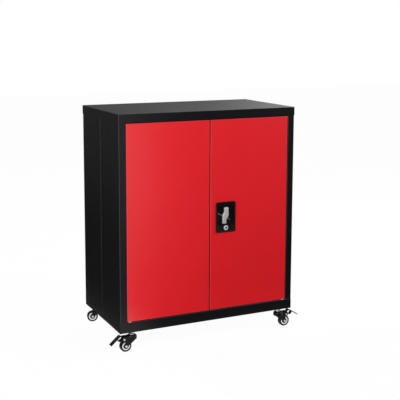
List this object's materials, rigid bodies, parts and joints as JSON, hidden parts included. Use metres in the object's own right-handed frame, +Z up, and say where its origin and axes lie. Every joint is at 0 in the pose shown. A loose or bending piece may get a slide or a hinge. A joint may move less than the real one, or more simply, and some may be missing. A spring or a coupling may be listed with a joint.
{
  "type": "two-door tool cabinet on casters",
  "caption": "Steel cabinet with two hinged doors, a recessed turn handle with bolts and a key lock, one shelf, and four swivel casters, the front ones braked.",
  "frame": {"origin": "on the floor under the middle of the cabinet's outer size, casters and pedals included", "axes": "+Z up, +X to the right as seen from in front, +Y from the doors to the back"},
  "size_m": [0.8259, 0.4214, 0.91],
  "materials": {
    "body_black": "satin powder coat",
    "door_red": "satin powder coat",
    "zinc_steel": "bright zinc plate",
    "chrome": "polished",
    "black_plastic": "fine-grained ABS",
    "nylon_white": "plain nylon",
    "rubber_black": "matt",
    "tyre_black": "smooth",
    "wheel_grey": "moulded",
    "caster_black": "semi-gloss"
  },
  "bodies": {
    "carcass": {"top_panel": "body_black", "front_header": "body_black", "bottom_panel": "body_black", "back_panel": "body_black", "left_side_front_leaf": "body_black", "left_side_rear_leaf": "body_black", "right_side_front_leaf": "body_black", "right_side_rear_leaf": "body_black", "seam_rivets": "zinc_steel", "back_screws": "zinc_steel", "left_front_upright": "body_black", "left_rear_upright": "body_black", "right_front_upright": "body_black", "right_rear_upright": "body_black", "shelf": "body_black", "shelf_clips": "zinc_steel", "pivot_bushes": "nylon_white", "door_bumpers": "rubber_black", "caster_plates": "zinc_steel", "stem_nuts": "zinc_steel", "front_left_caster_stem": "zinc_steel", "front_right_caster_stem": "zinc_steel", "rear_left_caster_stem": "zinc_steel", "rear_right_caster_stem": "zinc_steel"},
    "left_door": {"left_door_panel": "door_red", "left_door_stiffener": "door_red", "left_pivot_pins": "zinc_steel"},
    "right_door": {"right_door_panel": "door_red", "right_door_stiffener": "door_red", "right_pivot_pins": "zinc_steel", "handle_housing": "black_plastic", "housing_nuts": "zinc_steel", "rod_guides": "zinc_steel", "lock_barrel": "zinc_steel"},
    "handle": {"handle_lever": "chrome", "cam_plate": "zinc_steel", "cam_screw": "zinc_steel"},
    "upper_bolt": {"upper_rod": "zinc_steel"},
    "lower_bolt": {"lower_rod": "zinc_steel"},
    "lock": {"lock_plug": "zinc_steel", "lock_tab": "zinc_steel"},
    "front_left_swivel": {"front_left_caster_fork": "caster_black", "front_left_caster_pins": "zinc_steel"},
    "front_left_wheel": {"front_left_caster_rim": "wheel_grey", "front_left_caster_tyre": "tyre_black"},
    "front_left_brake": {"front_left_brake_pedal": "caster_black"},
    "front_right_swivel": {"front_right_caster_fork": "caster_black", "front_right_caster_pins": "zinc_steel"},
    "front_right_wheel": {"front_right_caster_rim": "wheel_grey", "front_right_caster_tyre": "tyre_black"},
    "front_right_brake": {"front_right_brake_pedal": "caster_black"},
    "rear_left_swivel": {"rear_left_caster_fork": "caster_black", "rear_left_caster_axle": "zinc_steel"},
    "rear_left_wheel": {"rear_left_caster_rim": "wheel_grey", "rear_left_caster_tyre": "tyre_black"},
    "rear_right_swivel": {"rear_right_caster_fork": "caster_black", "rear_right_caster_axle": "zinc_steel"},
    "rear_right_wheel": {"rear_right_caster_rim": "wheel_grey", "rear_right_caster_tyre": "tyre_black"}
  },
  "joints": [
    {"name": "left_door_hinge", "type": "hinge", "parent": "carcass", "child": "left_door", "pos_m": [-0.335, -0.198, 0.49555], "axis": [0, 0, -1], "range_deg": [0, 110]},
    {"name": "right_door_hinge", "type": "hinge", "parent": "carcass", "child": "right_door", "pos_m": [0.335, -0.198, 0.49555], "axis": [0, 0, 1], "range_deg": [0, 110]},
    {"name": "handle_turn", "type": "hinge", "parent": "right_door", "child": "handle", "pos_m": [0.069, -0.199, 0.493], "axis": [0, -1, 0], "range_deg": [0, 90]},
    {"name": "upper_bolt_slide", "type": "slide", "parent": "right_door", "child": "upper_bolt", "axis": [0, 0, 1], "range_m": [0, 0.02123]},
    {"name": "lower_bolt_slide", "type": "slide", "parent": "right_door", "child": "lower_bolt", "axis": [0, 0, -1], "range_m": [0, 0.02123]},
    {"name": "key_turn", "type": "hinge", "parent": "right_door", "child": "lock", "pos_m": [0.069, -0.207, 0.4448], "axis": [0, -1, 0], "range_deg": [0, 90]},
    {"name": "front_left_swivel_turn", "type": "hinge", "parent": "carcass", "child": "front_left_swivel", "pos_m": [-0.324, -0.19, 0.0645], "axis": [0, 0, 1], "continuous": true},
    {"name": "front_left_wheel_roll", "type": "hinge", "parent": "front_left_swivel", "child": "front_left_wheel", "pos_m": [-0.35, -0.19, 0.0225], "axis": [0, -1, 0], "continuous": true},
    {"name": "front_left_brake_press", "type": "hinge", "parent": "front_left_swivel", "child": "front_left_brake", "pos_m": [-0.358, -0.19, 0.05], "axis": [0, -1, 0], "range_deg": [-9, 0]},
    {"name": "front_right_swivel_turn", "type": "hinge", "parent": "carcass", "child": "front_right_swivel", "pos_m": [0.324, -0.19, 0.0645], "axis": [0, 0, 1], "continuous": true},
    {"name": "front_right_wheel_roll", "type": "hinge", "parent": "front_right_swivel", "child": "front_right_wheel", "pos_m": [0.35, -0.19, 0.0225], "axis": [0, 1, 0], "continuous": true},
    {"name": "front_right_brake_press", "type": "hinge", "parent": "front_right_swivel", "child": "front_right_brake", "pos_m": [0.358, -0.19, 0.05], "axis": [0, 1, 0], "range_deg": [0, 9]},
    {"name": "rear_left_swivel_turn", "type": "hinge", "parent": "carcass", "child": "rear_left_swivel", "pos_m": [-0.324, 0.19, 0.0645], "axis": [0, 0, 1], "continuous": true},
    {"name": "rear_left_wheel_roll", "type": "hinge", "parent": "rear_left_swivel", "child": "rear_left_wheel", "pos_m": [-0.34923, 0.19629, 0.0225], "axis": [-0.2419, -0.9703, 0], "continuous": true},
    {"name": "rear_right_swivel_turn", "type": "hinge", "parent": "carcass", "child": "rear_right_swivel", "pos_m": [0.324, 0.19, 0.0645], "axis": [0, 0, 1], "continuous": true},
    {"name": "rear_right_wheel_roll", "type": "hinge", "parent": "rear_right_swivel", "child": "rear_right_wheel", "pos_m": [0.34923, 0.19629, 0.0225], "axis": [-0.2419, 0.9703, 0], "continuous": true}
  ],
  "couplings": [
    {"joint": "upper_bolt_slide", "follows": "handle_turn", "m_per_rad": 0.013505},
    {"joint": "lower_bolt_slide", "follows": "handle_turn", "m_per_rad": 0.013505}
  ]
}
